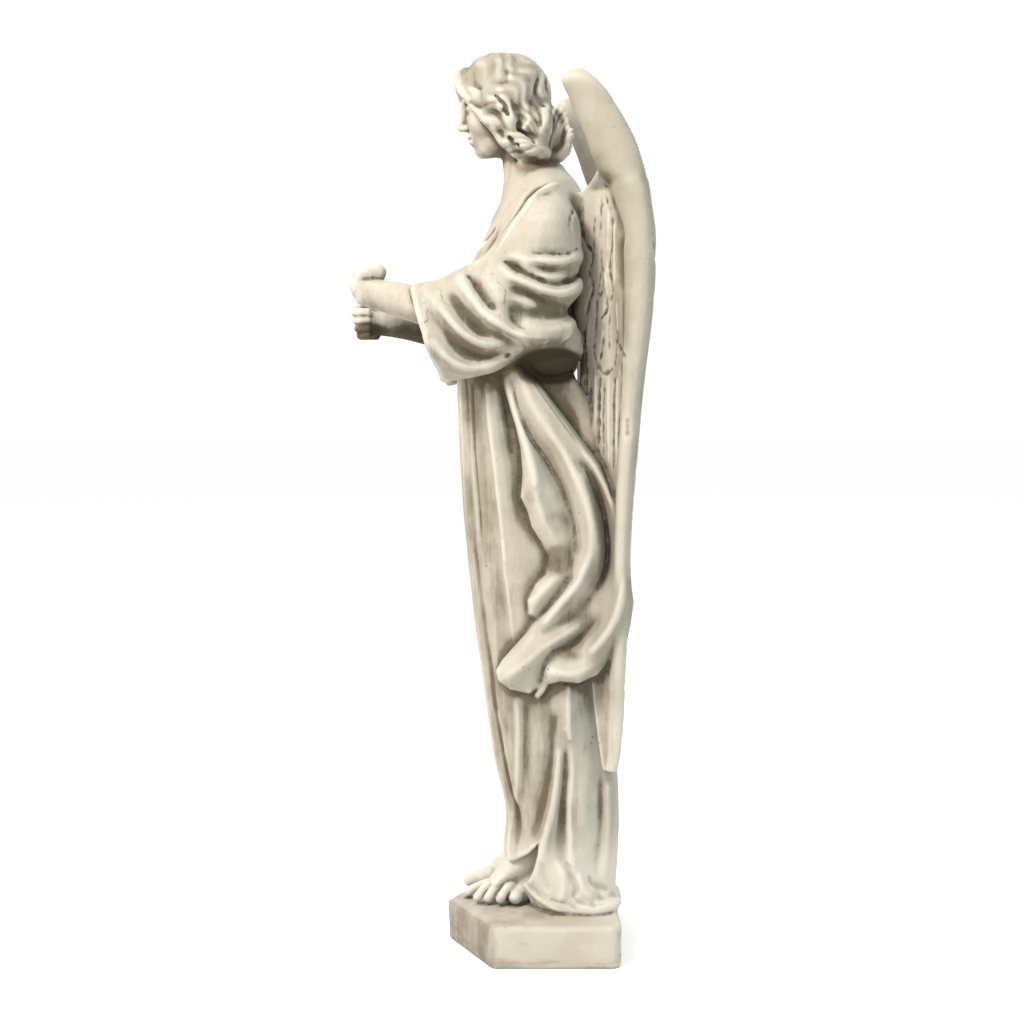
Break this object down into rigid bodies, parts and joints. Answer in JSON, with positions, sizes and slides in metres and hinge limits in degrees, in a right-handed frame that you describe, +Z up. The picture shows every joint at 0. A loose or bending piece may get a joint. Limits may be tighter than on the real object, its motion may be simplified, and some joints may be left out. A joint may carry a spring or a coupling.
{
  "type": "angel statue",
  "caption": "Standing robed angel with tall folded wings and raised forearms, cast in one piece with its low pointed plinth",
  "frame": {"origin": "middle of the plinth's flat underside", "axes": "+Z up along the figure, the figure and the plinth's point face -Y, the figure's own left side is +X"},
  "size_m": [0.355, 0.4108, 1.2212],
  "materials": {
    "stone_finish": "cast resin with a matt aged-stone finish: ivory on the high parts, warm beige between, brown-olive wash in the folds and small dark pits"
  },
  "bodies": {
    "root": {"angel_statue": "stone_finish"}
  },
  "joints": []
}
